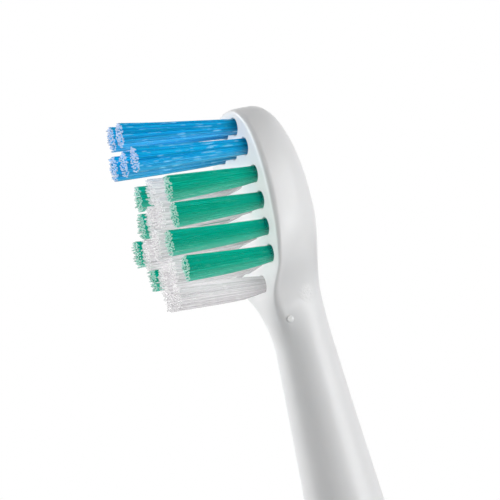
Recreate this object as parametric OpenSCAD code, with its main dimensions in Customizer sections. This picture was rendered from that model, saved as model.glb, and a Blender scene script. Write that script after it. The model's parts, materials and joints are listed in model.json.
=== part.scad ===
// Replacement brush head for a sonic toothbrush.
// A hollow moulded neck carries an egg-shaped bristle plate, which leans back from the shaft.
// Each tuft is a bundle of filaments, held in a blind hole by a small metal anchor plate.
// A socket in the neck slides on the handle's shaft, and a leaf spring takes up the play.
// Z runs up the shaft from the foot, the bristles point to -Y, and lengths are in millimetres.

/* [Neck] */
// Height of the whole head, from the foot to the tip of the plate
body_h = 74.6; // [70:0.2:90]
// Outside radius of the neck at the foot
foot_r = 6.7; // [6.2:0.1:8]
// Outside radius of the neck where it would be thinnest, inside the plate
neck_r = 2.53; // [2.35:0.01:3.2]
// Thickness of the neck's wall around the socket
neck_wall = 1.1; // [0.8:0.05:1.3]

/* [Bristle plate] */
// Width of the plate outside the middles of the outer tufts, where it is widest
side_margin = 2.67; // [2.4:0.01:3.5]
// Angle by which the plate leans back from the shaft
plate_lean = 4.3; // [0:0.1:8]
// Distance of the plate's face in front of the shaft's axis, at the first full row
plate_set = 3.08; // [2.9:0.02:4]
// Distance from the last row of tufts to the tip of the plate
tip_margin = 1.75; // [1.6:0.05:3]
// Distance from the lowest row of tufts to the level where the plate starts to leave the neck
neck_margin = 6.75; // [5.5:0.05:9]
// Distance by which the plate's back stands out past the neck
back_out = 0.65; // [0.3:0.05:1]
// Thickness of the plate at its tip
tip_t = 0.9; // [0.8:0.05:1.8]
// Radius of the edge around the plate's face
face_edge_r = 0.4; // [0.2:0.05:0.6]

/* [Tuft holes] */
// Distance between rows of tufts along the plate
row_pitch = 2.6; // [2.3:0.05:2.9]
// Distance between the columns of a full row
column_pitch = 2.77; // [2.4:0.01:3.1]
// Distance of the two tip tufts from the middle of the plate
tip_spread = 1.13; // [1.05:0.01:1.4]
// Distance of the outer tufts of the second blue row from the middle
shoulder_spread = 2.72; // [2.4:0.02:2.9]
// Distance of the outer tufts of the last green row from the middle
top_spread = 3.8; // [3.4:0.02:4.2]
// Radius of each tuft hole
hole_r = 0.85; // [0.8:0.01:0.9]
// Depth of each tuft hole
hole_depth = 2.6; // [2:0.05:2.8]

/* [Tufts] */
// Thickness of one filament
filament_d = 0.2; // [0.14:0.01:0.21]
// Length of the blue tufts at the tip of the plate
blue_tip_l = 12; // [8:0.1:14]
// Length of the second row of blue tufts
blue_l = 11.6; // [8:0.1:14]
// Length of the green tufts in the upper two rows
green_l = 9.2; // [7:0.1:12]
// Length of the green tufts in the row that stands out
green_high_l = 10.2; // [7:0.1:12]
// Length of the green tufts in the lowest full row
green_low_l = 9; // [7:0.1:12]
// Length of the two clear tufts at the lower end
clear_low_l = 9.1; // [7:0.1:12]
// Height by which the clear tufts stand over their neighbours
clear_rise = 0.1; // [0:0.05:1]
// Distance by which the blue tufts of the last row lean to the tip of the plate
blue_tip_lean = 0.6; // [0:0.05:1]
// Distance by which the second row of blue tufts leans to the neck
blue_lean = 0.2; // [0:0.05:0.3]

/* [Anchors] */
// Thickness of the metal anchor plate
anchor_t = 0.3; // [0.2:0.02:0.4]
// Height of the anchor plate
anchor_h = 1.4; // [1:0.05:1.6]
// Depth to which an anchor bites into the wall of its hole
anchor_bite = 0.15; // [0.05:0.01:0.2]

/* [Socket] */
// Radius of the handle's shaft
shaft_r = 2; // [1.6:0.05:2.1]
// Radius of the shaft's flattened end
shaft_end_r = 1.8; // [1.5:0.05:1.85]
// Length of the round guide at the mouth of the socket
guide_h = 8; // [5:0.5:9]
// Depth of the shaft's hole in the socket
shaft_depth = 23; // [20:0.5:24]
// Distance from the shaft's axis to its flat
shaft_flat = 1.4; // [1.2:0.05:1.5]
// Thickness of the socket's closed end
socket_end_t = 3; // [2:0.1:4]
// Wall of the socket's tube
tube_wall = 0.85; // [0.7:0.05:0.9]
// Thickness of the socket's ribs
rib_t = 0.8; // [0.6:0.05:1.2]
// Thickness of the flange at the socket's mouth
flange_h = 1.6; // [1:0.1:2.4]

/* [Spring clip] */
// Thickness of the spring's strip
spring_t = 0.25; // [0.15:0.01:0.3]
// Width of the spring's strip
spring_w = 2.2; // [1.6:0.1:2.4]
// Length of the spring from end to end
spring_l = 11.4; // [10:0.1:12]
// Distance by which the spring reaches past the shaft's flat
spring_press = 0.12; // [0:0.01:0.2]

/* [Fits] */
// Running clearance of the shaft in its hole
shaft_gap = 0.05; // [0.02:0.01:0.1]
// Clearance between pieces that are pressed or seated together
seat_gap = 0.03; // [0.02:0.005:0.05]
// Clearance between the tips of two neighbouring tufts
tuft_gap = 0.1; // [0.06:0.02:0.3]

/* [Hidden] */
$fn = 48;

// Length by which a cutter runs past the face that it cuts
overrun = 0.5;

// Places of the seven rows, counted in row pitches from the first full row
row_shares = [-1, 0, 1, 2, 3, 4.1, 4.94];
low_row = row_pitch * row_shares[0];
blue_row = row_pitch * row_shares[5];
tip_row = row_pitch * row_shares[6];

// Places of the columns
outer_x = column_pitch * 1.5;
inner_x = column_pitch / 2;
head_w = outer_x * 2 + side_margin * 2;

// Levels of the form, counted from the foot
row_to_tip = tip_row + tip_margin;
row_to_neck = neck_margin - low_row;
row_z = body_h - row_to_tip;
neck_z = row_z - row_to_neck;
plate_z = row_z - row_to_neck * 0.743;
front_z = row_z - row_to_neck * 0.182;
widest_z = row_z + row_to_tip * 0.234;
back_z = row_z + row_to_tip * 0.332;
crown_z = row_z + row_to_tip * 0.42;

// Bends of the form: each is the power of a curve, and none is a length
neck_bend_share = 1.36;
plate_bend_share = 1.9;
tip_bend_share = 2.21;
crown_bend_shares = [1.5, 0.233];
back_bend_share = 2.72;
toe_share = 0.58;

// Counts of the stations along the form and of the points around it
neck_steps = 8;
flare_steps = 20;
tip_steps = 17;
flat_points = 5;
edge_points = 4;
back_points = 30;
tip_angle = 88.6;

function ease(t) = t <= 0 ? 0 : t >= 1 ? 1 : t * t * (3 - 2 * t);
function mix(a, b, t) = a + (b - a) * t;
function signed_pow(v, p) = sign(v) * pow(abs(v), p);

// Radius of the round neck at a level
function neck_radius(z) =
    mix(neck_r, foot_r, pow(max(0, 1 - z / row_z), neck_bend_share));

// Half of the plate's width at a level: egg-shaped, with a soft start out of the neck
function half_width(z) =
    z < widest_z
    ? mix(neck_r, head_w / 2, plate_rise(max(0, z - plate_z) / (widest_z - plate_z)))
    : head_w / 2 * egg((z - widest_z) / (body_h - widest_z));
function plate_rise(t) = (1 - pow(1 - t, plate_bend_share)) * ease(t / toe_share);
function egg(t) = pow(max(0, 1 - pow(t, tip_bend_share)), 1 / tip_bend_share);

// Front of the plate at a level, which is flat but for its edge at the tip
function face_y(z) = (z - row_z) * tan(plate_lean) - plate_set;
function tip_edge(z) = tip_curl(max(0, z - body_h + face_edge_r));
function tip_curl(d) = face_edge_r - sqrt(max(0, face_edge_r * face_edge_r - d * d));

// Back of the plate at a level, which curves over to the thin tip
function back_y(z) =
    mix(neck_r + back_out, face_y(body_h) + tip_t, crown(max(0, z - crown_z) / (body_h - crown_z)));
function crown(t) = 1 - pow(1 - pow(t, crown_bend_shares[0]), crown_bend_shares[1]);

// Outline of the plate at a level: flat face, round edges and a domed back
function plate_ring(w, front, back, edge) = concat(
    [for (i = [0 : flat_points]) [(w - edge) * (2 * i / flat_points - 1), front]],
    [for (i = [1 : edge_points]) [
        w - edge + edge * sin(90 * i / edge_points),
        front + edge - edge * cos(90 * i / edge_points)]],
    [for (i = [1 : back_points]) [
        w * signed_pow(cos(180 * i / (back_points + 1)), 2 / back_bend_share),
        mix(front + edge, back, signed_pow(sin(180 * i / (back_points + 1)), 2 / back_bend_share))]],
    [for (i = [edge_points : -1 : 1]) [
        -w + edge - edge * sin(90 * i / edge_points),
        front + edge - edge * cos(90 * i / edge_points)]]
);

// The same count of points on a circle, with the middle of the flat at the front
function round_ring(r, count) =
    [for (i = [0 : count - 1]) [r * cos(turn(i, count)), r * sin(turn(i, count))]];
function turn(i, count) = (i - flat_points / 2) * 360 / count - 90;

// Share of the plate's outline in the section: the flat face is whole sooner than the back
function grown(z, angle) =
    ease((z - neck_z) / (mix(front_z, back_z, (1 + sin(angle)) / 2) - neck_z));

function ring(z, w, front, back, edge) =
    let (plate = plate_ring(w, front, back, edge))
    let (count = len(plate))
    let (round_neck = round_ring(neck_radius(z), count))
    [for (i = [0 : count - 1])
        concat(mix(round_neck[i], plate[i], grown(z, turn(i, count))), z)];

function station(z) =
    ring(z, half_width(z), face_y(z) + tip_edge(z), back_y(z), min(face_edge_r, half_width(z) * 0.45));

levels = concat(
    [for (i = [0 : neck_steps - 1]) neck_z * i / neck_steps],
    [for (i = [0 : flare_steps - 1]) mix(neck_z, widest_z, i / flare_steps)],
    [for (i = [0 : tip_steps]) mix(widest_z, body_h, sin(tip_angle * i / tip_steps))]
);

module loft(rings) {
    count = len(rings[0]);
    last = len(rings) - 1;
    polyhedron(
        points = [for (r = rings) for (p = r) p],
        faces = concat(
            [[for (i = [0 : count - 1]) i]],
            [for (s = [0 : last - 1]) for (i = [0 : count - 1]) [
                s * count + i, (s + 1) * count + i, s * count + (i + 1) % count]],
            [for (s = [0 : last - 1]) for (i = [0 : count - 1]) [
                s * count + (i + 1) % count, (s + 1) * count + i, (s + 1) * count + (i + 1) % count]],
            [[for (i = [count - 1 : -1 : 0]) last * count + i]]
        )
    );
}

// Room that a tuft's tips have around their middle: in a pair, and elsewhere
pair_room = tip_spread;
row_room = min(row_pitch, column_pitch, shoulder_spread) / 2;

// Each tuft has its place across the plate, its place up the plate, its length, its lean and its room
blue_tufts = [
    [tip_spread, tip_row, blue_tip_l, blue_tip_lean, pair_room],
    [-tip_spread, tip_row, blue_tip_l, blue_tip_lean, pair_room],
    [shoulder_spread, blue_row, blue_l, -blue_lean, row_room],
    [0, blue_row, blue_l, -blue_lean, row_room],
    [-shoulder_spread, blue_row, blue_l, -blue_lean, row_room]
];
green_tufts = [
    [top_spread, row_pitch * 3, green_l, 0, row_room],
    [-top_spread, row_pitch * 3, green_l, 0, row_room],
    [outer_x, row_pitch * 2, green_l, 0, row_room],
    [-outer_x, row_pitch * 2, green_l, 0, row_room],
    [outer_x, row_pitch, green_high_l, 0, row_room],
    [-outer_x, row_pitch, green_high_l, 0, row_room],
    [outer_x, 0, green_low_l, 0, row_room],
    [-outer_x, 0, green_low_l, 0, row_room]
];
clear_tufts = [
    [0, row_pitch * 3, green_l + clear_rise, 0, row_room],
    [inner_x, row_pitch * 2, green_l + clear_rise, 0, row_room],
    [-inner_x, row_pitch * 2, green_l + clear_rise, 0, row_room],
    [inner_x, row_pitch, green_high_l + clear_rise, 0, row_room],
    [-inner_x, row_pitch, green_high_l + clear_rise, 0, row_room],
    [inner_x, 0, green_low_l + clear_rise, 0, row_room],
    [-inner_x, 0, green_low_l + clear_rise, 0, row_room],
    [tip_spread, low_row, clear_low_l, 0, pair_room],
    [-tip_spread, low_row, clear_low_l, 0, pair_room]
];
all_tufts = concat(blue_tufts, green_tufts, clear_tufts);

// Filaments of one tuft, packed in rings of six sides around a middle one
filament_rings = 3;
root_pitch = (hole_r - seat_gap * 2 - filament_d / 2) / filament_rings;
function tip_pitch(room) = (room - tuft_gap / 2 - filament_d / 2) / filament_rings;
filament_places = [
    for (a = [-filament_rings : filament_rings])
    for (b = [-filament_rings : filament_rings])
    if (abs(a + b) <= filament_rings) [a + b / 2, b * sin(60)]
];

// Moves what is drawn on the plate to its tuft: the plate's face is at zero and +Z leaves it
module at_tuft(place) {
    translate([0, -plate_set, row_z])
        rotate([90 - plate_lean, 0, 0])
        translate([place[0], place[1], 0])
        children();
}

module tuft_hole() {
    translate([0, 0, -hole_depth])
        cylinder(h = hole_depth + overrun, r = hole_r);
    translate([0, 0, (overrun - hole_depth) / 2])
        cube([hole_r * 2 + anchor_bite * 2, anchor_t + seat_gap * 2, hole_depth + overrun], center = true);
}

module tuft_root() {
    difference() {
        translate([0, 0, seat_gap - hole_depth])
            cylinder(h = hole_depth - seat_gap, r = hole_r - seat_gap);
        translate([0, 0, (anchor_h - overrun) / 2 + seat_gap * 2 - hole_depth])
            cube([hole_r * 2, anchor_t + seat_gap * 2, anchor_h + overrun], center = true);
    }
}

module filament(place, length, lean, room) {
    spread = place * (tip_pitch(room) - root_pitch) + [0, lean];
    translate([place[0] * root_pitch, place[1] * root_pitch, 0])
        rotate([0, atan2(norm(spread), length), atan2(spread[1], spread[0])])
        translate([0, 0, -filament_d])
        cylinder(h = norm([norm(spread), length]) + filament_d, d = filament_d, $fn = 16);
}

module tuft(place) {
    at_tuft(place) {
        tuft_root();
        for (p = filament_places) filament(p, place[2], place[3], place[4]);
    }
}

// The socket fills the hollow of the neck up to its closed end
socket_h = shaft_depth + socket_end_t;

// The moulded neck and plate in one piece
module head_body() {
    color("#eceef0")
    difference() {
        loft([for (z = levels) station(z)]);
        translate([0, 0, -overrun])
            cylinder(
                h = socket_h + seat_gap + overrun,
                r1 = cavity_radius(-overrun),
                r2 = cavity_radius(socket_h + seat_gap)
            );
        for (t = all_tufts) at_tuft(t) tuft_hole();
    }
}

// The hollow in the neck is a cone between the walls at its two ends
cavity_foot_r = neck_radius(0) - neck_wall;
cavity_top_r = neck_radius(socket_h) - neck_wall;
function cavity_radius(z) = mix(cavity_foot_r, cavity_top_r, z / socket_h);

tube_r = shaft_r + shaft_gap + tube_wall;
pocket_y = tube_r - spring_t - seat_gap * 2;
spring_z = (guide_h + shaft_depth) / 2;
rib_gap = seat_gap * 4;

module cavity_slice(low, high, gap) {
    translate([0, 0, low])
        cylinder(h = high - low, r1 = cavity_radius(low) - gap, r2 = cavity_radius(high) - gap);
}

module shaft_hole() {
    translate([0, 0, -overrun])
        cylinder(h = guide_h + overrun, r = shaft_r + shaft_gap);
    difference() {
        cylinder(h = shaft_depth, r = shaft_end_r + shaft_gap);
        translate([-tube_r, shaft_flat + shaft_gap, 0])
            cube([tube_r * 2, tube_r, shaft_depth + overrun]);
    }
}

module spring_seat() {
    translate([-spring_w / 2 - seat_gap, pocket_y, spring_z - spring_l / 2 - seat_gap])
        cube([spring_w + seat_gap * 2, tube_r, spring_l + seat_gap * 2]);
    translate([-spring_w / 2 - seat_gap, 0, spring_z - spring_l * 0.3])
        cube([spring_w + seat_gap * 2, tube_r, spring_l * 0.6]);
}

// The socket that slides on the shaft, with its flange, tube, ribs and head
module shaft_socket() {
    color("#c9ccd0")
    difference() {
        union() {
            cavity_slice(0, flange_h, seat_gap);
            cylinder(h = socket_h, r = tube_r);
            intersection() {
                cavity_slice(flange_h / 2, socket_h - socket_end_t * 0.3, rib_gap);
                for (a = [45, 135])
                    rotate([0, 0, a])
                    translate([-foot_r, -rib_t / 2, 0])
                    cube([foot_r * 2, rib_t, socket_h]);
            }
            cavity_slice(socket_h - socket_end_t * 0.6, socket_h, seat_gap);
        }
        shaft_hole();
        spring_seat();
    }
}

// Inner face of the spring at a share of its length: flat ends, bowed in to the shaft's flat
spring_out = pocket_y + seat_gap;
spring_in = shaft_flat - spring_press;
function bow(t) = t < 0.24 || t > 0.76 ? 0 : (1 - cos(360 * (t - 0.24) / 0.52)) / 2;
function spring_y(t) = mix(spring_out, spring_in, bow(t));
spring_steps = 25;

// The leaf spring that takes up the play at the shaft's flat
module spring_clip() {
    color("#b8bcc2")
    translate([-spring_w / 2, 0, spring_z - spring_l / 2])
        rotate([90, 0, 90])
        linear_extrude(height = spring_w)
        polygon(concat(
            [for (i = [0 : spring_steps]) [spring_y(i / spring_steps), spring_l * i / spring_steps]],
            [for (i = [spring_steps : -1 : 0])
                [spring_y(i / spring_steps) + spring_t, spring_l * i / spring_steps]]
        ));
}

// One metal plate at the bottom of each hole, which holds the folded filaments
module anchors() {
    color("#c8b070")
    for (t = all_tufts)
        at_tuft(t)
        translate([0, 0, anchor_h / 2 + seat_gap - hole_depth])
        cube([hole_r * 2 + anchor_bite * 2 - seat_gap * 2, anchor_t, anchor_h], center = true);
}

module tuft_blue_1() { color("#1b8fc4") tuft(blue_tufts[0]); }
module tuft_blue_2() { color("#1b8fc4") tuft(blue_tufts[1]); }
module tuft_blue_3() { color("#1b8fc4") tuft(blue_tufts[2]); }
module tuft_blue_4() { color("#1b8fc4") tuft(blue_tufts[3]); }
module tuft_blue_5() { color("#1b8fc4") tuft(blue_tufts[4]); }
module tuft_green_1() { color("#12a07c") tuft(green_tufts[0]); }
module tuft_green_2() { color("#12a07c") tuft(green_tufts[1]); }
module tuft_green_3() { color("#12a07c") tuft(green_tufts[2]); }
module tuft_green_4() { color("#12a07c") tuft(green_tufts[3]); }
module tuft_green_5() { color("#12a07c") tuft(green_tufts[4]); }
module tuft_green_6() { color("#12a07c") tuft(green_tufts[5]); }
module tuft_green_7() { color("#12a07c") tuft(green_tufts[6]); }
module tuft_green_8() { color("#12a07c") tuft(green_tufts[7]); }
module tuft_clear_1() { color("#e4e8e6") tuft(clear_tufts[0]); }
module tuft_clear_2() { color("#e4e8e6") tuft(clear_tufts[1]); }
module tuft_clear_3() { color("#e4e8e6") tuft(clear_tufts[2]); }
module tuft_clear_4() { color("#e4e8e6") tuft(clear_tufts[3]); }
module tuft_clear_5() { color("#e4e8e6") tuft(clear_tufts[4]); }
module tuft_clear_6() { color("#e4e8e6") tuft(clear_tufts[5]); }
module tuft_clear_7() { color("#e4e8e6") tuft(clear_tufts[6]); }
module tuft_clear_8() { color("#e4e8e6") tuft(clear_tufts[7]); }
module tuft_clear_9() { color("#e4e8e6") tuft(clear_tufts[8]); }

head_body();
shaft_socket();
spring_clip();
anchors();
tuft_blue_1();
tuft_blue_2();
tuft_blue_3();
tuft_blue_4();
tuft_blue_5();
tuft_green_1();
tuft_green_2();
tuft_green_3();
tuft_green_4();
tuft_green_5();
tuft_green_6();
tuft_green_7();
tuft_green_8();
tuft_clear_1();
tuft_clear_2();
tuft_clear_3();
tuft_clear_4();
tuft_clear_5();
tuft_clear_6();
tuft_clear_7();
tuft_clear_8();
tuft_clear_9();
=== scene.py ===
# %% [markdown]
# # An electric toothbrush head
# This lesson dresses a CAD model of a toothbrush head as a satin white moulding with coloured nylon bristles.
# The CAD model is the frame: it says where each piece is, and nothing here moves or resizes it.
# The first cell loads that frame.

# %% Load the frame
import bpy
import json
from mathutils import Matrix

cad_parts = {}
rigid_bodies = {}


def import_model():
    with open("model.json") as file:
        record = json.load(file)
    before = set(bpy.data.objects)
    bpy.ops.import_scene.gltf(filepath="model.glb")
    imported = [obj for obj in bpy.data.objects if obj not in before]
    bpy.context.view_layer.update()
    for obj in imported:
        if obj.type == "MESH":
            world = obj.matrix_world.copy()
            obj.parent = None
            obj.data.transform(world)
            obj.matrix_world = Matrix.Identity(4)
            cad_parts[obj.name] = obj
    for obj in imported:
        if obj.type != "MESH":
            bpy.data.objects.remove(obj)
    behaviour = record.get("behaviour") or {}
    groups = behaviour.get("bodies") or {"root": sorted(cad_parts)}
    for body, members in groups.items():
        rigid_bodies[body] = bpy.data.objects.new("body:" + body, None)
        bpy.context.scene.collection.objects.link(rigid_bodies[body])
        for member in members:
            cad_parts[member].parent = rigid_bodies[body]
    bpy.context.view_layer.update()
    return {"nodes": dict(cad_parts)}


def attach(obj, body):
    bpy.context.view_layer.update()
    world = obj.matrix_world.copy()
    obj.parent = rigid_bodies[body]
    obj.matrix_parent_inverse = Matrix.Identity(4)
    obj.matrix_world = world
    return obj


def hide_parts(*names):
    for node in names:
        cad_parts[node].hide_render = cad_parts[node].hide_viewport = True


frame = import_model()
print("CAD nodes:", len(frame["nodes"]))

# %% [markdown]
# ## Tools
# The lesson needs Blender's own module, NumPy for lists of points, and a source of random numbers. The source
# starts from a fixed seed, so the brush has the same small unevenness each time that the lesson runs.

# %% Tools of this lesson
import json
import math

import bpy
import numpy as np
from mathutils import Matrix, Vector

MM = 0.001
SEED = 11
rng = np.random.default_rng(SEED)
print("one millimetre is", MM, "in Blender's metres")

# %% [markdown]
# ## The form of the moulding
# The real body is one injection moulding: a round neck that flares to the foot, and an egg-shaped plate
# that leans back a little. It could be sculpted by hand, but a moulding has a drawn form, so it is lofted:
# a cross-section is worked out at each level, and the sections are joined. The sizes are those of the
# CAD model, in millimetres, so the finer mesh lies on the CAD's surface.

# %% Sizes of the moulding
BODY_H = 74.6
FOOT_R = 6.7
NECK_R = 2.53
LEAN = math.radians(4.3)
PLATE_SET = 3.08
ROW_PITCH = 2.6
COLUMN_PITCH = 2.77
ROW_PLACES = [-1, 0, 1, 2, 3, 4.1, 4.94]
TIP_MARGIN = 1.75
NECK_MARGIN = 6.75
SIDE_MARGIN = 2.67
HEAD_W = COLUMN_PITCH * 3 + SIDE_MARGIN * 2
BACK_OUT = 0.65
TIP_T = 0.9
EDGE_R = 0.55
LOW_EDGE_R = 0.35
print("plate:", round(HEAD_W, 2), "mm wide, edges rounded to", EDGE_R, "mm")

# %% Levels where the form changes
ROW_TO_TIP = ROW_PITCH * ROW_PLACES[6] + TIP_MARGIN
ROW_TO_NECK = ROW_PITCH + NECK_MARGIN
ROW_Z = BODY_H - ROW_TO_TIP  # the first full row of tufts
NECK_Z = ROW_Z - ROW_TO_NECK  # the neck is round up to here
PLATE_Z = ROW_Z - ROW_TO_NECK * 0.743  # the plate begins to widen
FRONT_Z = ROW_Z - ROW_TO_NECK * 0.182  # the flat face is whole
WIDEST_Z = ROW_Z + ROW_TO_TIP * 0.234
BACK_Z = ROW_Z + ROW_TO_TIP * 0.332  # the domed back is whole
CROWN_Z = ROW_Z + ROW_TO_TIP * 0.42  # the back begins to thin towards the tip
print("first full row at", round(ROW_Z, 2), "mm, neck at", round(NECK_Z, 2), "mm")

# %% Bends of the curves
NECK_FLARE = 1.36
PLATE_SWELL = 1.9
PLATE_START = 0.58
EGG_BEND = 2.21
BACK_START, BACK_FALL = 1.5, 0.233
EDGE_GROWTH = 7


def ease(t):
    t = np.clip(t, 0, 1)
    return t * t * (3 - 2 * t)


def mix(a, b, t):
    return a + (b - a) * t


# %% Curves of the moulding
def neck_radius(z):
    return mix(NECK_R, FOOT_R, max(0.0, 1 - z / ROW_Z) ** NECK_FLARE)


def half_width(z):
    if z < WIDEST_Z:
        t = max(0.0, z - PLATE_Z) / (WIDEST_Z - PLATE_Z)
        return mix(NECK_R, HEAD_W / 2, (1 - (1 - t) ** PLATE_SWELL) * ease(t / PLATE_START))
    t = (z - WIDEST_Z) / (BODY_H - WIDEST_Z)
    return HEAD_W / 2 * max(0.0, 1 - t**EGG_BEND) ** (1 / EGG_BEND)


def face_y(z):
    return (z - ROW_Z) * math.tan(LEAN) - PLATE_SET


def back_y(z):
    t = max(0.0, z - CROWN_Z) / (BODY_H - CROWN_Z)
    return mix(NECK_R + BACK_OUT, face_y(BODY_H) + TIP_T, 1 - (1 - t**BACK_START) ** BACK_FALL)


def edge_radius(z):
    return mix(LOW_EDGE_R, EDGE_R, ease((z - FRONT_Z) / EDGE_GROWTH))


def tip_edge(z):
    d = max(0.0, z - BODY_H + EDGE_R)
    return EDGE_R - math.sqrt(max(0.0, EDGE_R**2 - d**2))


for z in (0, NECK_Z, WIDEST_Z):
    print("level", round(z, 1), "mm: neck", round(neck_radius(z), 2), "plate", round(float(half_width(z)), 2))

# %% [markdown]
# ## One section of the plate
# Each section has a flat front, two small rounded edges and a domed back. The back is a superellipse,
# which is the curve that a designer draws for a soft but full shape. Lower down, the same points slide
# over to a circle, so that plate and neck are one skin with no seam. The flat face is whole sooner than
# the back, which is why the sliding depends on where a point is around the neck. The edge is rounded a
# little more beside the tufts than at the neck, where the real fold is almost too soft to see.

# %% Ring of the plate
FLAT_POINTS = 24
EDGE_POINTS = 8
BACK_POINTS = 104
BACK_BEND = 2.72


def plate_ring(w, front, back, edge):
    """The outline of the plate at one level: its flat front, an edge, the back, and the other edge."""
    flat = np.linspace(-1, 1, FLAT_POINTS + 1) * (w - edge)
    ring = [(x, front) for x in flat]
    turn = np.radians(90 * np.arange(1, EDGE_POINTS + 1) / EDGE_POINTS)
    side = [(w - edge + edge * math.sin(a), front + edge - edge * math.cos(a)) for a in turn]
    ring += side
    for a in np.pi * np.arange(1, BACK_POINTS + 1) / (BACK_POINTS + 1):
        x = w * math.copysign(abs(math.cos(a)) ** (2 / BACK_BEND), math.cos(a))
        ring.append((x, mix(front + edge, back, math.sin(a) ** (2 / BACK_BEND))))
    ring += [(-x, y) for x, y in reversed(side)]
    return np.array(ring)


print("points in a ring:", len(plate_ring(1, 0, 1, 0.1)))

# %% Sections from foot to tip
EDGE_SHARE = 0.45
NECK_SECTIONS, SWELL_SECTIONS, TIP_SECTIONS = 24, 60, 54
LAST_TURN = 88.9


def section(z):
    w = half_width(z)
    plate = plate_ring(w, face_y(z) + tip_edge(z), back_y(z), min(edge_radius(z), w * EDGE_SHARE))
    turn = (np.arange(len(plate)) - FLAT_POINTS / 2) * 2 * np.pi / len(plate) - np.pi / 2
    circle = neck_radius(z) * np.column_stack([np.cos(turn), np.sin(turn)])
    whole_z = mix(FRONT_Z, BACK_Z, (1 + np.sin(turn)) / 2)
    grown = ease((z - NECK_Z) / (whole_z - NECK_Z))
    ring = mix(circle, plate, grown[:, None])
    return np.column_stack([ring, np.full(len(ring), z)])


levels = list(np.linspace(0, NECK_Z, NECK_SECTIONS, endpoint=False))
levels += list(np.linspace(NECK_Z, WIDEST_Z, SWELL_SECTIONS, endpoint=False))
for i in range(TIP_SECTIONS + 1):
    levels.append(mix(WIDEST_Z, BODY_H, math.sin(math.radians(LAST_TURN * i / TIP_SECTIONS))))
sections = np.array([section(z) for z in levels])
print("sections:", sections.shape[0], "points in each:", sections.shape[1])


# %% [markdown]
# ## From numbers to meshes
# A mesh is a list of points and a list of faces, so a small helper makes each piece from two lists.
# Smooth shading hides the facets, and edges sharper than a set angle stay crisp.

# %% Mesh helpers
def make_piece(name, points, faces, sharp=None):
    mesh = bpy.data.meshes.new(name)
    mesh.from_pydata([tuple(p) for p in points], [], faces)
    mesh.update()
    mesh.polygons.foreach_set("use_smooth", [True] * len(mesh.polygons))
    if sharp:
        mesh.set_sharp_from_angle(angle=math.radians(sharp))
    piece = bpy.data.objects.new(name, mesh)
    bpy.context.collection.objects.link(piece)
    return piece


def loft_faces(rings, count):
    """Faces that join rings of as many points each, with a cap at both ends."""
    faces = [tuple(range(count - 1, -1, -1))]
    for s in range(rings - 1):
        for i in range(count):
            j = (i + 1) % count
            faces.append((s * count + i, s * count + j, (s + 1) * count + j, (s + 1) * count + i))
    faces.append(tuple((rings - 1) * count + i for i in range(count)))
    return faces


print("faces of the skin:", len(loft_faces(len(levels), sections.shape[1])))

# %% [markdown]
# ## The places of the tufts
# A tuft's place is given on the plate: across it, up it from the first full row, how far it stands out,
# how far its tips lean along the plate, and how wide its fan of tips is. The real tufts were set by a
# machine and then trimmed to a profile, so the rows are regular, but each fan leans a little its own way.
# One matrix turns the plate's own directions into those of the model.

# %% Columns, fans and leans
OUTER = COLUMN_PITCH * 1.5
INNER = COLUMN_PITCH / 2
TIP_X = 1.13
SHOULDER_X = 2.72
TOP_X = 3.8
CLEAR_RISE = 0.2
FAN, PAIR_FAN, LOW_FAN, CLEAR_FAN = 1.24, 1.2, 1.26, 1.5
TIP_LEAN, SHOULDER_LEAN, LOW_LEAN = 0.6, 0.1, 0.1
GREEN_LEANS = (-0.3, -0.12)
CLEAR_LEANS = {4: (-0.2,), 3: (0.3, -0.1), 2: (-0.05, -0.6), 1: (-0.35, -0.7)}
TIP_L, SHOULDER_L, LOW_L = 12.0, 11.6, 9.1
MIXED_ROWS = ((4, 9.2), (3, 9.2), (2, 10.2), (1, 9.0))
print("outer columns at", round(OUTER, 3), "mm, inner columns at", INNER, "mm")

# %% Places of the tufts
row_at = [ROW_PITCH * share for share in ROW_PLACES]
places = {
    "blue": [(x, row_at[6], TIP_L, TIP_LEAN, PAIR_FAN) for x in (TIP_X, -TIP_X)],
    "green": [],
    "clear": [],
}
places["blue"] += [(x, row_at[5], SHOULDER_L, SHOULDER_LEAN, FAN) for x in (SHOULDER_X, 0, -SHOULDER_X)]
for row, length in MIXED_ROWS:
    outside, inside = ((TOP_X, -TOP_X), (0,)) if row == 4 else ((OUTER, -OUTER), (INNER, -INNER))
    for x, lean in zip(outside, GREEN_LEANS):
        places["green"].append((x, row_at[row], length, lean, FAN))
    for x, lean in zip(inside, CLEAR_LEANS[row]):
        places["clear"].append((x, row_at[row], length + CLEAR_RISE, lean, CLEAR_FAN))
places["clear"] += [(x, row_at[0], LOW_L, LOW_LEAN, LOW_FAN) for x in (TIP_X, -TIP_X)]
print({colour: len(group) for colour, group in places.items()})

# %% Directions of the plate
lean_turn = Matrix.Rotation(math.radians(90) - LEAN, 4, "X")
to_model = np.array(Matrix.Translation((0, -PLATE_SET, ROW_Z)) @ lean_turn)


def on_plate(points):
    """Points on the plate, in millimetres, as points of the model in metres."""
    return (points @ to_model[:3, :3].T + to_model[:3, 3]) * MM


print("the plate's middle is at", on_plate(np.zeros((1, 3)))[0].round(5).tolist(), "m")

# %% [markdown]
# ## Holes and hollow
# The tool that moulds the body leaves a blind hole for each tuft and a conical hollow for the socket.
# Cutting them with a Boolean follows the real order: first the block, then the cores that shape it.
# Each hole gets a small chamfer at its mouth, because a moulded edge is never razor sharp.

# %% Turned shapes
def turned(profile, sides):
    """Points and faces of a turned shape from (radius, height) pairs, closed at both ends."""
    angle = np.linspace(0, 2 * np.pi, sides, endpoint=False)
    rings = [np.column_stack([r * np.cos(angle), r * np.sin(angle), np.full(sides, h)]) for r, h in profile]
    return np.vstack(rings), loft_faces(len(profile), sides)


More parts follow.
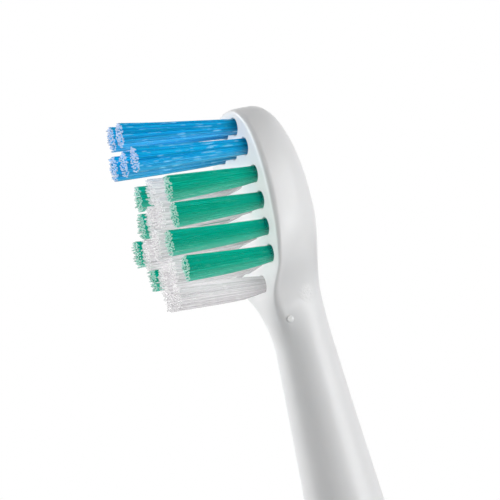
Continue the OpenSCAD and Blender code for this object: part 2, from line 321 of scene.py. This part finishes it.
HOLE_R = 0.85
HOLE_DEPTH = 2.6
CHAMFER = 0.07
HOLE_SIDES = 40
PAST_FACE = 0.23
hole_profile = [
    (HOLE_R, -HOLE_DEPTH),
    (HOLE_R, -CHAMFER),
    (HOLE_R + CHAMFER, 0.0),
    (HOLE_R + CHAMFER + PAST_FACE, PAST_FACE),
]
print("a hole is", HOLE_R * 2, "mm wide and", HOLE_DEPTH, "mm deep")

# %% Profile of the hollow
HOLLOW_WALL = 1.1
HOLLOW_H = 26.0
HOLLOW_END = 26.03
BELOW_FOOT = 0.5
HOLLOW_SIDES = 96
hollow_r = [neck_radius(0) - HOLLOW_WALL, neck_radius(HOLLOW_H) - HOLLOW_WALL]
slope = (hollow_r[1] - hollow_r[0]) / HOLLOW_H
hollow_profile = [(hollow_r[0] - slope * BELOW_FOOT, -BELOW_FOOT), (hollow_r[0] + slope * HOLLOW_END, HOLLOW_END)]
print("the hollow narrows from", round(hollow_r[0], 2), "to", round(hollow_r[1], 2), "mm in radius")

# %% Cutter of all cores
cut_points, cut_faces = [], []


def add_core(points, faces):
    start = sum(len(p) for p in cut_points)
    cut_points.append(points)
    cut_faces.extend(tuple(start + i for i in face) for face in faces)


for group in places.values():
    for x, up, *_ in group:
        points, faces = turned(hole_profile, HOLE_SIDES)
        add_core(on_plate(points + [x, up, 0]), faces)
points, faces = turned(hollow_profile, HOLLOW_SIDES)
add_core(points * MM, faces)
cutter = make_piece("cutter", np.vstack(cut_points), cut_faces)
print("cores in the cutter:", len(cut_points))

# %% Cut the moulding
CRISP_ANGLE = 35
body = make_piece("moulded_body", sections.reshape(-1, 3) * MM, loft_faces(len(levels), sections.shape[1]))
cut = body.modifiers.new("holes", "BOOLEAN")
cut.operation = "DIFFERENCE"
cut.solver = "EXACT"
cut.object = cutter
shaped = bpy.data.meshes.new_from_object(body.evaluated_get(bpy.context.evaluated_depsgraph_get()))
body.modifiers.clear()
body.data = shaped
shaped.polygons.foreach_set("use_smooth", [True] * len(shaped.polygons))
shaped.set_sharp_from_angle(angle=math.radians(CRISP_ANGLE))
bpy.data.objects.remove(cutter)
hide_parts("head_body")
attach(body, "root")
print("moulded body:", len(shaped.vertices), "points")

# %% [markdown]
# ## The bristles
# Each tuft is a bundle of nylon filaments, 0.15 mm thick, that leave the hole packed tight and fan out
# towards their ground, rounded tips. Hair curves would be quick to draw but thin out in an export,
# so each filament is a small tube. It bends outwards a little, and no two have quite the same length.
# In the hole the filaments pack as a hexagon. The same hexagon, pressed into a disc, gives their tips.

# %% Filament places
FILAMENT_R = 0.076
RINGS = 5
ROOT_PITCH = 0.152
span = range(-RINGS, RINGS + 1)
cells = [(a, b) for a in span for b in span if abs(a + b) <= RINGS]
hexagon = np.array([(a + b / 2, b * math.sin(math.radians(60))) for a, b in cells])
ring_of = np.array([max(abs(a), abs(b), abs(a + b)) for a, b in cells])
disc = hexagon * (ring_of / np.maximum(np.hypot(*hexagon.T), 0.1))[:, None] / RINGS
print("filaments in a tuft:", len(hexagon))

# %% One filament
SIDES = 7
STEPS = 7
ROOT_DEPTH = 0.4
TIP_TURN = np.radians([0, 40, 68])
ALONG = np.concatenate([np.linspace(0, 1, STEPS), np.ones(len(TIP_TURN))])
RISE = np.concatenate([np.zeros(STEPS), FILAMENT_R * np.sin(TIP_TURN)])
RADIUS = np.concatenate([np.full(STEPS, FILAMENT_R), FILAMENT_R * np.cos(TIP_TURN)])
around = np.linspace(0, 2 * np.pi, SIDES, endpoint=False)
CIRCLE = np.column_stack([np.cos(around), np.sin(around)])
POINTS_EACH = len(ALONG) * SIDES + 1


def filament_points(root, tip, bow, power, straight):
    """A tube from the root to the tip that bows to one side and ends in a small dome."""
    rings = []
    for share, lift, r in zip(ALONG, RISE, RADIUS):
        middle = mix(root, tip, share**power) + bow * math.sin(math.pi * share)
        height = mix(-ROOT_DEPTH, straight, share) + lift
        rings.append(np.column_stack([CIRCLE * r + middle, np.full(SIDES, height)]))
    return np.vstack(rings + [[[*tip, straight + FILAMENT_R]]])


def filament_faces(start):
    faces = []
    for s in range(len(ALONG) - 1):
        low, high = start + s * SIDES, start + (s + 1) * SIDES
        for i in range(SIDES):
            j = (i + 1) % SIDES
            faces.append((low + i, low + j, high + j, high + i))
    top = start + len(ALONG) * SIDES
    last = top - SIDES
    faces += [(last + i, last + (i + 1) % SIDES, top) for i in range(SIDES)]
    faces.append(tuple(start + i for i in range(SIDES - 1, -1, -1)))
    return faces


print("points in a filament:", POINTS_EACH)

# %% [markdown]
# ## The fan of a tuft
# The holes are round, but a tuft spreads more along the head than across it, so the disc of tips is
# pressed to an oval. Its middle is lifted, because the outer filaments lean away and end lower down the
# plate. The lower filaments also part from the bundle sooner, which gives each tuft its sparse lower edge.
# Three numbers are kept on each point for the colours: how far along the filament it is, the filament's
# random tone, and how far it strays below the middle.

# %% One tuft
ACROSS = 0.66
LIFT = 0.25
EARLY = 0.42
BENDS = {"blue": 1.08, "green": 1.08, "clear": 0.7}
TIP_STRAY, BOW, UNEVEN, TRIM = 0.05, 0.04, 0.07, 0.05
TIP_ANGLE = 60


def make_tuft(name, x, up, length, lean, fan, bend):
    count = len(hexagon)
    root = hexagon * ROOT_PITCH
    low = disc[:, 1]
    tip = disc + np.column_stack([np.zeros(count), LIFT * (1 - (disc**2).sum(1))])
    tip = tip * (fan - FILAMENT_R) * [ACROSS, 1] + rng.normal(0, TIP_STRAY, (count, 2)) + [0, lean]
    power = bend + EARLY * np.minimum(low, 0)
    bow = rng.normal(0, BOW, (count, 2))
    reach = length + rng.normal(0, UNEVEN, count) - TRIM
    tone = rng.random(count)
    points, faces = [], []
    for k in range(count):
        points.append(filament_points(root[k], tip[k], bow[k], power[k], reach[k] - FILAMENT_R))
        faces += filament_faces(k * POINTS_EACH)
    tuft = make_piece(name, on_plate(np.vstack(points) + [x, up, 0]), faces, TIP_ANGLE)
    marks = {
        "along": np.tile(np.append(np.repeat(ALONG, SIDES), 1.0), count),
        "tone": np.repeat(tone, POINTS_EACH),
        "stray": np.repeat(np.maximum(0.0, -low), POINTS_EACH),
    }
    for mark, values in marks.items():
        layer = tuft.data.attributes.new(mark, "FLOAT", "POINT")
        layer.data.foreach_set("value", values)
    return tuft


# %% All tufts
tufts = {}
for colour, group in places.items():
    for number, place in enumerate(group, 1):
        tuft = make_tuft(f"bristles_{colour}_{number}", *place, BENDS[colour])
        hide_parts(f"tuft_{colour}_{number}")
        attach(tuft, "root")
        tufts[tuft.name] = tuft
print("tufts:", len(tufts), "triangles in one:", sum(len(p.vertices) - 2 for p in tuft.data.polygons))


# %% [markdown]
# ## Shader helpers
# A material is a small network of nodes. Four helpers keep the cells short: one adds a node and sets its
# values, one joins nodes from a list of wires, one starts a group with named inputs and outputs, so that
# one effect serves many materials, and one starts a material with its main shader.

# %% Shader helpers
def add_node(tree, kind, values=(), **settings):
    node = tree.nodes.new(kind)
    for key, value in settings.items():
        setattr(node, key, value)
    for socket, value in dict(values).items():
        node.inputs[socket].default_value = value
    return node


def link_all(tree, wires):
    for start, give, end, take in wires:
        tree.links.new(start.outputs[give], end.inputs[take])


def new_group(name, inputs, outputs):
    group = bpy.data.node_groups.new(name, "ShaderNodeTree")
    for label, kind in inputs:
        group.interface.new_socket(label, in_out="INPUT", socket_type=kind)
    for label, kind in outputs:
        group.interface.new_socket(label, in_out="OUTPUT", socket_type=kind)
    return group, group.nodes.new("NodeGroupInput"), group.nodes.new("NodeGroupOutput")


def new_material(name):
    material = bpy.data.materials.new(name)
    material.use_nodes = True
    tree = material.node_tree
    tree.nodes.clear()
    shader = tree.nodes.new("ShaderNodeBsdfPrincipled")
    output = tree.nodes.new("ShaderNodeOutputMaterial")
    tree.links.new(shader.outputs["BSDF"], output.inputs["Surface"])
    return material, tree, shader


FLOAT, COLOUR, VECTOR = "NodeSocketFloat", "NodeSocketColor", "NodeSocketVector"
WHITE = (1, 1, 1, 1)
print("kinds of socket:", FLOAT, COLOUR, VECTOR)

# %% [markdown]
# ## Grain of a moulding or a metal
# No surface is perfectly even: a moulding has a faint unevenness in its gloss, and a strip of metal has more.
# A picture could carry that, but noise needs no file and stays sharp close up.
# The group mixes a fine and a broad noise into two masks. One varies the colour and the other the gloss.

# %% Grain group
grain, grain_in, grain_out = new_group(
    "Surface grain",
    [("Fine Scale", FLOAT), ("Broad Scale", FLOAT), ("Low", FLOAT), ("High", FLOAT)],
    [("Broad", FLOAT), ("Gloss", FLOAT), ("Height", FLOAT)],
)
place = add_node(grain, "ShaderNodeTexCoord")
fine = add_node(grain, "ShaderNodeTexNoise", {"Detail": 3.0, "Roughness": 0.6})
broad = add_node(grain, "ShaderNodeTexNoise", {"Detail": 2.0, "Roughness": 0.5})
gloss = add_node(grain, "ShaderNodeMapRange", {"From Min": 0.3, "From Max": 0.7})
grain_wires = [
    (place, "Object", fine, "Vector"), (place, "Object", broad, "Vector"),
    (grain_in, "Fine Scale", fine, "Scale"), (grain_in, "Broad Scale", broad, "Scale"),
    (grain_in, "Low", gloss, "To Min"), (grain_in, "High", gloss, "To Max"),
    (broad, "Fac", gloss, "Value"), (broad, "Fac", grain_out, "Broad"),
    (gloss, "Result", grain_out, "Gloss"), (fine, "Fac", grain_out, "Height"),
]
link_all(grain, grain_wires)
print("wires in the grain group:", len(grain_wires))


# %% A material with grain
def grained_material(name, dark, light, fine_scale, broad_scale, low, high, bump):
    """A material whose colour, gloss and surface vary softly with the grain group."""
    material, tree, shader = new_material(name)
    effect = add_node(tree, "ShaderNodeGroup", node_tree=grain)
    settings = {"Fine Scale": fine_scale, "Broad Scale": broad_scale, "Low": low, "High": high}
    for label, value in settings.items():
        effect.inputs[label].default_value = value
    tint = add_node(tree, "ShaderNodeMix", {6: (*dark, 1), 7: (*light, 1)}, data_type="RGBA")
    relief = add_node(tree, "ShaderNodeBump", {"Strength": 0.4, "Distance": bump * MM})
    link_all(tree, [
        (effect, "Broad", tint, 0), (tint, 2, shader, "Base Color"), (effect, "Gloss", shader, "Roughness"),
        (effect, "Height", relief, "Height"), (relief, "Normal", shader, "Normal"),
    ])
    return material, shader


# %% [markdown]
# ## White moulded plastic
# The body is a milky white plastic: a little light goes into it and comes out beside where it went in.
# Subsurface scattering gives that softness, and a modest roughness gives the wide, gentle highlights.
# The gloss varies only slightly, so that its patches don't show.

# %% White moulding
white_plastic, white_shader = grained_material(
    "white_moulding",
    dark=(0.835, 0.84, 0.845), light=(0.845, 0.85, 0.857),
    fine_scale=1400, broad_scale=160, low=0.285, high=0.315, bump=0.004,
)
white_shader.inputs["Subsurface Weight"].default_value = 0.3
white_shader.inputs["Subsurface Radius"].default_value = (1.0, 0.95, 0.9)
white_shader.inputs["Subsurface Scale"].default_value = 1.2 * MM
white_shader.inputs["IOR"].default_value = 1.49
body.data.materials.clear()
body.data.materials.append(white_plastic)
print("plastic on the body:", white_plastic.name)

# %% [markdown]
# ## Gate mark and scuffed patch, with painted highlights
# The plastic enters the tool through a small gate, and where it is broken off a slightly raised dot stays on the
# neck.
# Above it the surface is scuffed. Both could be modelled, but they are thinner than a hair, so a bump gives their
# relief, and colour mixed towards white paints a highlight on the dot and a sparkle on the patch. A group makes a
# round mask from a distance, and each spot has its own values.

# %% Spot group
spots, spots_in, spots_out = new_group(
    "Round spot", [("Centre", VECTOR), ("Inner", FLOAT), ("Outer", FLOAT)], [("Mask", FLOAT)]
)
place = add_node(spots, "ShaderNodeTexCoord")
apart = add_node(spots, "ShaderNodeVectorMath", operation="DISTANCE")
fade = add_node(spots, "ShaderNodeMapRange", {"To Min": 1.0, "To Max": 0.0}, interpolation_type="SMOOTHSTEP")
link_all(spots, [
    (place, "Object", apart, 0), (spots_in, "Centre", apart, 1), (apart, "Value", fade, "Value"),
    (spots_in, "Inner", fade, "From Min"), (spots_in, "Outer", fade, "From Max"),
    (fade, "Result", spots_out, "Mask"),
])


def add_spot(tree, centre, inner, outer):
    """A round mask on the model, with its centre and radii in millimetres."""
    spot = add_node(tree, "ShaderNodeGroup", node_tree=spots)
    spot.inputs["Centre"].default_value = [c * MM for c in centre]
    spot.inputs["Inner"].default_value = inner * MM
    spot.inputs["Outer"].default_value = outer * MM
    return spot


print("inputs of a spot:", [socket.name for socket in spots_in.outputs if socket.name])

# %% Marks on the neck: bumps and painted highlights
SPECK_SCALE = 3500.0
MARK_HEIGHT = 0.12
tree = white_plastic.node_tree
plain_colour = white_shader.inputs["Base Color"].links[0].from_socket
grain_normal = white_shader.inputs["Normal"].links[0].from_socket
# the gate dot and the scuffed patch get a real bump, and a painted highlight where their colour is mixed towards
# white
gate_dot_and_highlight = add_spot(tree, centre=(2.27, -1.85, 53.54), inner=0.2, outer=0.4)
scuff_and_painted_sparkle = add_spot(tree, centre=(2.85, 0.35, 55.7), inner=0.2, outer=1.2)
place = add_node(tree, "ShaderNodeTexCoord")
specks = add_node(tree, "ShaderNodeTexNoise", {"Scale": SPECK_SCALE, "Detail": 1.0})
rough = add_node(tree, "ShaderNodeMath", operation="MULTIPLY")
marks = add_node(tree, "ShaderNodeMath", operation="ADD", use_clamp=True)
# painted highlight: the colour is mixed towards white on the gate dot and on the specks of the scuffed patch
painted_highlight = add_node(tree, "ShaderNodeMix", {7: WHITE}, data_type="RGBA")
relief = add_node(tree, "ShaderNodeBump", {"Strength": 1.0, "Distance": MARK_HEIGHT * MM})
tree.links.new(plain_colour, painted_highlight.inputs[6])
tree.links.new(grain_normal, relief.inputs["Normal"])
link_all(tree, [
    (place, "Object", specks, "Vector"), (specks, "Fac", rough, 0), (scuff_and_painted_sparkle, "Mask", rough, 1),
    (gate_dot_and_highlight, "Mask", marks, 0), (rough, 0, marks, 1), (marks, 0, painted_highlight, 0),
    (painted_highlight, 2, white_shader, "Base Color"), (marks, 0, relief, "Height"),
    (relief, "Normal", white_shader, "Normal"),
])
print("nodes in the white plastic:", len(tree.nodes))

# %% [markdown]
# ## Grey plastic and metals
# The pieces inside the neck aren't seen from outside, but they are real: a grey socket, a spring of bright
# steel strip and anchors of yellow metal. They keep their CAD meshes and take plain finishes with the
# same grain group, because a second effect would show nothing more.

# %% Finishes of the inner pieces
grey_plastic, _ = grained_material(
    "socket_moulding",
    dark=(0.54, 0.55, 0.57), light=(0.62, 0.63, 0.65),
    fine_scale=1200, broad_scale=200, low=0.4, high=0.5, bump=0.02,
)
spring_steel, steel_shader = grained_material(
    "spring_steel",
    dark=(0.52, 0.53, 0.55), light=(0.66, 0.67, 0.69),
    fine_scale=2500, broad_scale=300, low=0.28, high=0.38, bump=0.01,
)
anchor_metal, anchor_shader = grained_material(
    "anchor_metal",
    dark=(0.6, 0.5, 0.28), light=(0.74, 0.64, 0.4),
    fine_scale=2500, broad_scale=400, low=0.3, high=0.42, bump=0.01,
)
steel_shader.inputs["Metallic"].default_value = 1.0
anchor_shader.inputs["Metallic"].default_value = 1.0
inner_finishes = {"shaft_socket": grey_plastic, "spring_clip": spring_steel, "anchors": anchor_metal}
for node, material in inner_finishes.items():
    for place in frame["nodes"][node].material_slots:
        place.material = material
    print(node, "has", len(frame["nodes"][node].material_slots), "material slot")

# %% [markdown]
# ## Nylon filaments
# A filament is drawn nylon, tinted through. Near the plate its colour is mixed to a root colour, painted shade
# for the blue and green, where little light reaches, and its ground tip is frosted and looks almost white. Thin,
# pale dashes along it are painted highlights, and the filaments that stray below the bundle are painted paler, as
# light through the thin edge of the fan. One material for each filament would be many, so one group reads the
# three numbers kept on the points and turns them into a colour and a gloss.

# %% Nodes of the filament group
nylon, nylon_in, nylon_out = new_group(
    "Nylon tones",
    [("Painted Root Tone", COLOUR), ("Plain", COLOUR), ("Pale", COLOUR), ("Tip", COLOUR)]
    + [("Spread", FLOAT), ("Streaks", FLOAT), ("Painted Stray Light", FLOAT)],
    [("Colour", COLOUR), ("Gloss", FLOAT)],
)
along, tone, stray = (
    add_node(nylon, "ShaderNodeAttribute", attribute_name=mark) for mark in ("along", "tone", "stray")
)
# painted shade: near the plate the colour is mixed towards the root colour, which is darker for the blue and
# green nylon
root_tone_ramp = add_node(nylon, "ShaderNodeMapRange", {"From Min": 0.035, "From Max": 0.09})
ground = add_node(nylon, "ShaderNodeMapRange", {"From Min": 0.992, "From Max": 0.999})
gloss = add_node(nylon, "ShaderNodeMapRange", {"To Min": 0.22, "To Max": 0.5})
centred = add_node(nylon, "ShaderNodeMath", {1: 0.5}, operation="SUBTRACT")
bright = add_node(nylon, "ShaderNodeMath", {2: 1.0}, operation="MULTIPLY_ADD")
# painted highlights: noise cut into dashes along each filament mixes the colour towards the pale colour
run = add_node(nylon, "ShaderNodeMath", {1: 7.0}, operation="MULTIPLY")
track = add_node(nylon, "ShaderNodeMath", {1: 70.0}, operation="MULTIPLY")
cell = add_node(nylon, "ShaderNodeCombineXYZ")
dashes = add_node(nylon, "ShaderNodeTexNoise", {"Scale": 1.0, "Detail": 1.0})
dash = add_node(nylon, "ShaderNodeMapRange", {"From Min": 0.6, "From Max": 0.7})
glint_mask = add_node(nylon, "ShaderNodeMath", operation="MULTIPLY")
# painted light: filaments that stray below the bundle are mixed towards the pale colour, as if lit through the
# thin lower edge of the fan
outer = add_node(nylon, "ShaderNodeMath", {1: 2.0}, operation="POWER")
painted_light_mask = add_node(nylon, "ShaderNodeMath", operation="MULTIPLY_ADD", use_clamp=True)
varied = add_node(nylon, "ShaderNodeVectorMath", operation="SCALE")
body_tone, pale, tipped = (add_node(nylon, "ShaderNodeMix", data_type="RGBA") for _ in range(3))
print("nodes in the nylon group:", len(nylon.nodes))

# %% Wires of the filament group
dash_wires = [
    (along, "Fac", run, 0), (tone, "Fac", track, 0), (run, 0, cell, "X"), (track, 0, cell, "Y"),
    (cell, 0, dashes, "Vector"), (dashes, "Fac", dash, "Value"), (dash, 0, glint_mask, 0),
    (nylon_in, "Streaks", glint_mask, 1), (stray, "Fac", outer, 0), (outer, 0, painted_light_mask, 0),
    (nylon_in, "Painted Stray Light", painted_light_mask, 1), (glint_mask, 0, painted_light_mask, 2),
]
tone_wires = [
    (along, "Fac", root_tone_ramp, "Value"), (root_tone_ramp, 0, body_tone, 0), (nylon_in, "Painted Root Tone", body_tone, 6),
    (nylon_in, "Plain", body_tone, 7), (tone, "Fac", centred, 0), (centred, 0, bright, 0),
    (nylon_in, "Spread", bright, 1), (body_tone, 2, varied, 0), (bright, 0, varied, "Scale"),
    (painted_light_mask, 0, pale, 0), (varied, 0, pale, 6), (nylon_in, "Pale", pale, 7),
]
tip_wires = [
    (along, "Fac", ground, "Value"), (ground, 0, tipped, 0), (pale, 2, tipped, 6),
    (nylon_in, "Tip", tipped, 7), (ground, 0, gloss, "Value"),
    (tipped, 2, nylon_out, "Colour"), (gloss, 0, nylon_out, "Gloss"),
]
link_all(nylon, dash_wires + tone_wires + tip_wires)
print("wires in the nylon group:", len(nylon.links))


# %% Nylon material
def nylon_material(name, deep, plain, pale, tip, spread, clear, streaks, paling):
    material, tree, shader = new_material(name)
    effect = add_node(tree, "ShaderNodeGroup", node_tree=nylon)
    for label, value in {"Painted Root Tone": deep, "Plain": plain, "Pale": pale, "Tip": tip}.items():
        effect.inputs[label].default_value = (*value, 1)
    for label, value in {"Spread": spread, "Streaks": streaks, "Painted Stray Light": paling}.items():
        effect.inputs[label].default_value = value
    shader.inputs["Alpha"].default_value = 1 - clear
    shader.inputs["IOR"].default_value = 1.3
    shader.inputs["Specular IOR Level"].default_value = 0.1
    shader.inputs["Subsurface Weight"].default_value = 0.6
    shader.inputs["Subsurface Radius"].default_value = (1.0, 1.0, 1.0)
    shader.inputs["Subsurface Scale"].default_value = 0.3 * MM
    link_all(tree, [(effect, "Colour", shader, "Base Color"), (effect, "Gloss", shader, "Roughness")])
    return material


# %% [markdown]
# ## Colours of the filaments
# Blue, green and clear nylon differ in colour and in how clear they are. The clear one is milky in a bundle,
# since each filament bends the light once more. A real bundle also lets much of the light through to the
# plate behind it. Tracing that through 91 filaments takes long, so the tufts simply cast no shadow.

# %% Filament colours
# the root colour is painted shade at the plate; the pale colour paints glints and light on the stray filaments
finishes = {
    "blue": nylon_material(
        "blue_nylon",
        deep=(0.0, 0.2, 0.4), plain=(0.002, 0.4, 0.68), pale=(0.3, 0.74, 0.95), tip=(0.72, 0.8, 1.0),
        spread=0.5, clear=0.3, streaks=0.7, paling=0.2,
    ),
    "green": nylon_material(
        "green_nylon",
        deep=(0.0, 0.2, 0.15), plain=(0.0, 0.44, 0.31), pale=(0.1, 0.58, 0.45), tip=(0.75, 0.97, 0.9),
        spread=0.25, clear=0.55, streaks=0.25, paling=0.9,
    ),
    "clear": nylon_material(
        "clear_nylon",
        deep=(0.78, 0.77, 0.78), plain=(0.75, 0.74, 0.75), pale=(0.98, 0.97, 0.97), tip=(0.98, 0.97, 0.98),
        spread=0.35, clear=0.56, streaks=0.6, paling=0.0,
    ),
}
for name, tuft in tufts.items():
    tuft.data.materials.append(finishes[name.split("_")[1]])
    tuft.visible_shadow = False
print("filament finishes:", ", ".join(finishes))

# %% [markdown]
# ## The floor
# The part stands on its foot on a pale floor. A floor in a studio runs up into a white wall with no line
# between them. Here the floor takes only lamp light where it carries the part's shadow, and gets whiter with
# distance, for the camera alone, until it meets the white of the world.

# %% Floor
FLOOR_SIZE = 0.5
FLOOR_GREY = 0.6
NEAR_GLOW, FAR_GLOW = 0.62, 1.0
GLOW_FROM, GLOW_TO = 0.1, 0.45
corners = [(x * FLOOR_SIZE, y * FLOOR_SIZE, 0) for x, y in ((-1, -1), (1, -1), (1, 1), (-1, 1))]
floor = make_piece("floor", corners, [(0, 1, 2, 3)])
material, tree, shader = new_material("pale_floor")
shader.inputs["Base Color"].default_value = (FLOOR_GREY, FLOOR_GREY, FLOOR_GREY, 1)
shader.inputs["Roughness"].default_value = 0.9
shader.inputs["Emission Color"].default_value = WHITE
sight = add_node(tree, "ShaderNodeLightPath")
place = add_node(tree, "ShaderNodeTexCoord")
apart = add_node(tree, "ShaderNodeVectorMath", operation="LENGTH")
whiter = add_node(tree, "ShaderNodeMapRange", {"From Min": GLOW_FROM, "From Max": GLOW_TO})
whiter.inputs["To Min"].default_value = NEAR_GLOW
whiter.inputs["To Max"].default_value = FAR_GLOW
glow = add_node(tree, "ShaderNodeMath", operation="MULTIPLY")
link_all(tree, [
    (place, "Object", apart, 0), (apart, "Value", whiter, "Value"), (whiter, "Result", glow, 1),
    (sight, "Is Camera Ray", glow, 0), (glow, 0, shader, "Emission Strength"),
])
floor.data.materials.append(material)
print("floor:", FLOOR_SIZE * 2, "m a side")

# %% [markdown]
# ## The world
# The world is white where the camera looks at it, or where a reflection or a clear piece shows it.
# Everywhere else it is dim, so that it fills the shadows without washing out the form of the white plastic.

# %% World
AMBIENT = 0.106
world = bpy.data.worlds.new("white_room")
bpy.context.scene.world = world
world.use_nodes = True
tree = world.node_tree
tree.nodes.clear()
sight = add_node(tree, "ShaderNodeLightPath")
either = add_node(tree, "ShaderNodeMath", operation="MAXIMUM")
any_of = add_node(tree, "ShaderNodeMath", operation="MAXIMUM")
seen = add_node(tree, "ShaderNodeBackground", {"Color": WHITE, "Strength": 1.0})
light = add_node(tree, "ShaderNodeBackground", {"Color": WHITE, "Strength": AMBIENT})
choose = add_node(tree, "ShaderNodeMixShader")
out = add_node(tree, "ShaderNodeOutputWorld")
link_all(tree, [
    (sight, "Is Camera Ray", either, 0), (sight, "Is Glossy Ray", either, 1), (either, 0, any_of, 0),
    (sight, "Is Transmission Ray", any_of, 1), (any_of, 0, choose, 0), (light, 0, choose, 1),
    (seen, 0, choose, 2), (choose, 0, out, "Surface"),
])
print("ambient light:", AMBIENT)

# %% [markdown]
# ## The camera
# The camera was worked out from the photograph: the places of the tufts fix where it stood, how it was
# turned and how long its lens was. It looks at the first full row from 400 mm away, a little from below.

# %% Camera directions
CAMERA_AZIMUTH, CAMERA_ELEVATION, CAMERA_ROLL = (math.radians(a) for a in (65.57, -4.69, -10.3))
away = Vector((math.sin(CAMERA_AZIMUTH), -math.cos(CAMERA_AZIMUTH), 0)) * math.cos(CAMERA_ELEVATION)
away.z = math.sin(CAMERA_ELEVATION)
level_right = (-away).cross(Vector((0, 0, 1))).normalized()
level_up = level_right.cross(-away)
right = level_right * math.cos(CAMERA_ROLL) + level_up * math.sin(CAMERA_ROLL)
up = level_up * math.cos(CAMERA_ROLL) - level_right * math.sin(CAMERA_ROLL)
axes = Matrix.Rotation(-LEAN, 3, "X") @ Matrix((right, up, away)).transposed()
aim = Vector((0, -PLATE_SET, ROW_Z)) * MM
print("the camera looks along", [round(v, 3) for v in -axes.col[2]])

# %% Camera
CAMERA_DISTANCE = 400.0
PIXELS_PER_MM = 10.39
PICTURE = 500
AIM_X, AIM_Y = 252.72, 259.7
camera_data = bpy.data.cameras.new("camera")
camera = bpy.data.objects.new("camera", camera_data)
bpy.context.collection.objects.link(camera)
camera.matrix_world = Matrix.Translation(aim + axes.col[2] * CAMERA_DISTANCE * MM) @ axes.to_4x4()
camera_data.sensor_width = 36
camera_data.lens = PIXELS_PER_MM * CAMERA_DISTANCE / PICTURE * camera_data.sensor_width
camera_data.shift_x = (PICTURE / 2 - AIM_X) / PICTURE
camera_data.shift_y = (AIM_Y - PICTURE / 2) / PICTURE
camera_data.clip_start = 0.01
bpy.context.scene.camera = camera
print("lens:", round(camera_data.lens, 1), "mm, camera at", [round(v, 3) for v in camera.location])

# %% [markdown]
# ## The lamps
# White plastic needs dark as well as light to show its form. Two large soft boxes light it from the sides
# and the front stays dimmer, which gives the neck its soft grey band. A small lamp at the right draws
# the highlight on the plate's side, and a weak one low in front keeps the fold under the tufts from going dark.


# %% Soft boxes
def soft_box(name, side, height, back, size, power):
    """A square lamp, placed by the camera's right, up and back directions, aimed at the plate."""
    lamp = bpy.data.lights.new(name, "AREA")
    lamp.shape = "SQUARE"
    lamp.size = size
    lamp.energy = power
    box = bpy.data.objects.new(name, lamp)
    bpy.context.collection.objects.link(box)
    box.location = aim + axes.col[0] * side + Vector((0, 0, height)) + axes.col[2] * back
    box.rotation_euler = (box.location - aim).to_track_quat("Z", "Y").to_euler()
    return box


boxes = [
    soft_box("left_box", side=-0.35, height=0.1, back=-0.11, size=0.3, power=1.62),
    soft_box("right_box", side=0.33, height=0.12, back=0.18, size=0.3, power=0.82),
    soft_box("small_box", side=0.34, height=0.03, back=0.22, size=0.05, power=0.35),
    soft_box("front_box", side=0.11, height=-0.04, back=0.12, size=0.06, power=0.14),
]
bpy.context.scene.view_settings.view_transform = "Standard"
print("lamps:", {box.name: round(box.data.energy, 2) for box in boxes})
